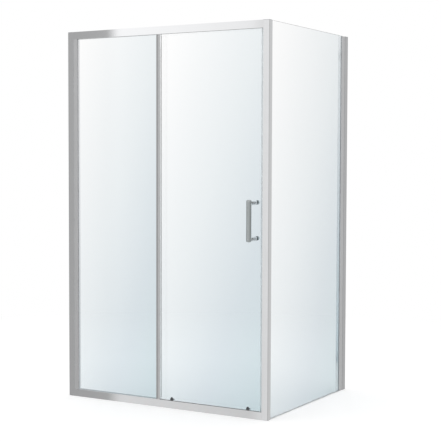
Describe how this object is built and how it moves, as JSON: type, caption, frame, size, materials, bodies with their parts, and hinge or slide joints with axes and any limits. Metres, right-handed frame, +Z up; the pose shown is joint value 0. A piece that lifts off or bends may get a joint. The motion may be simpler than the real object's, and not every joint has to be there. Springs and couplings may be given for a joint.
{
  "type": "shower enclosure",
  "caption": "Corner shower enclosure in clear glass and bright metal: a fixed pane and a sliding door with a bar handle in front, a fixed pane at the side.",
  "frame": {"origin": "under the middle of the front sill, at half the depth of the front frame, on the tray", "axes": "+X along the front from the left wall to the corner post, +Y into the shower towards the rear wall, +Z up"},
  "size_m": [1.18, 0.95, 1.9],
  "materials": {
    "bright_aluminium": "bright polished and clear anodised extrusion",
    "clear_glass": "clear toughened glass with polished edges",
    "clear_seal": "clear soft extruded seal",
    "grey_rubber": "dark grey rubber",
    "magnet_strip": "grey flexible magnet strip",
    "dark_plastic": "dark grey moulded plastic, satin",
    "grey_plastic": "grey moulded plastic, satin",
    "white_plastic": "white turned plastic wheel",
    "steel": "bright stainless steel",
    "chrome": "polished chrome plating"
  },
  "bodies": {
    "frame": {"front_wall_channel": "bright_aluminium", "side_wall_channel": "bright_aluminium", "front_stile": "bright_aluminium", "side_stile": "bright_aluminium", "top_rail": "bright_aluminium", "bottom_rail": "bright_aluminium", "mullion": "bright_aluminium", "corner_post": "bright_aluminium", "corner_post_cap": "grey_plastic", "wall_channel_caps": "grey_plastic", "side_front_channel": "bright_aluminium", "strike_profile": "bright_aluminium", "strike_magnet": "magnet_strip", "fixed_glass": "clear_glass", "side_glass": "clear_glass", "side_sill_seal": "clear_seal", "front_stile_gasket": "grey_rubber", "side_stile_gasket": "grey_rubber", "side_front_gasket": "grey_rubber", "top_rail_gaskets": "grey_rubber", "bottom_rail_gaskets": "grey_rubber", "setting_blocks": "grey_rubber", "rail_brackets": "steel", "rail_screws": "steel", "channel_lock_screws": "steel", "door_stops": "dark_plastic"},
    "door": {"door_glass": "clear_glass", "door_rear_stile": "bright_aluminium", "door_rear_wiper": "clear_seal", "door_lock_seal": "clear_seal", "door_magnet": "magnet_strip", "top_eccentric_left": "steel", "top_eccentric_right": "steel", "top_glass_bushes": "grey_plastic", "bottom_glass_bushes": "grey_plastic", "top_cap_nuts": "chrome", "bottom_cap_nuts": "chrome", "bottom_roller_housing_left": "dark_plastic", "bottom_roller_housing_right": "dark_plastic", "release_spring_left": "steel", "release_spring_right": "steel", "handle_bar": "chrome", "handle_end_plugs": "grey_plastic", "handle_posts": "chrome", "handle_collars": "dark_plastic", "handle_washers": "grey_rubber", "handle_screws": "steel", "handle_nuts": "chrome"},
    "top_wheel_left": {"top_wheel_left": "white_plastic", "top_bearing_left": "steel"},
    "release_left": {"release_slider_left": "dark_plastic", "bottom_axle_left": "steel"},
    "bottom_wheel_left": {"bottom_wheel_left": "white_plastic", "bottom_bearing_left": "steel"},
    "top_wheel_right": {"top_wheel_right": "white_plastic", "top_bearing_right": "steel"},
    "release_right": {"release_slider_right": "dark_plastic", "bottom_axle_right": "steel"},
    "bottom_wheel_right": {"bottom_wheel_right": "white_plastic", "bottom_bearing_right": "steel"}
  },
  "joints": [
    {"name": "door_slide", "type": "slide", "parent": "frame", "child": "door", "axis": [-1, 0, 0], "range_m": [0, 0.48]},
    {"name": "top_wheel_left_spin", "type": "hinge", "parent": "door", "child": "top_wheel_left", "pos_m": [0.02825, 0.007, 1.8788], "axis": [0, 1, 0], "continuous": true},
    {"name": "release_left_press", "type": "slide", "parent": "door", "child": "release_left", "axis": [0, 0, -1], "range_m": [0, 0.005], "stiffness_N_per_m": 800, "springref_m": -0.004, "deforming": ["release_spring_left"]},
    {"name": "bottom_wheel_left_spin", "type": "hinge", "parent": "release_left", "child": "bottom_wheel_left", "pos_m": [0.02825, 0.007, 0.0227], "axis": [0, 1, 0], "continuous": true},
    {"name": "top_wheel_right_spin", "type": "hinge", "parent": "door", "child": "top_wheel_right", "pos_m": [0.46425, 0.007, 1.8788], "axis": [0, 1, 0], "continuous": true},
    {"name": "release_right_press", "type": "slide", "parent": "door", "child": "release_right", "axis": [0, 0, -1], "range_m": [0, 0.005], "stiffness_N_per_m": 800, "springref_m": -0.004, "deforming": ["release_spring_right"]},
    {"name": "bottom_wheel_right_spin", "type": "hinge", "parent": "release_right", "child": "bottom_wheel_right", "pos_m": [0.46425, 0.007, 0.0227], "axis": [0, 1, 0], "continuous": true}
  ],
  "couplings": [
    {"joint": "top_wheel_left_spin", "follows": "door_slide", "rad_per_m": -105.26},
    {"joint": "bottom_wheel_left_spin", "follows": "door_slide", "rad_per_m": 125},
    {"joint": "top_wheel_right_spin", "follows": "door_slide", "rad_per_m": -105.26},
    {"joint": "bottom_wheel_right_spin", "follows": "door_slide", "rad_per_m": 125}
  ]
}
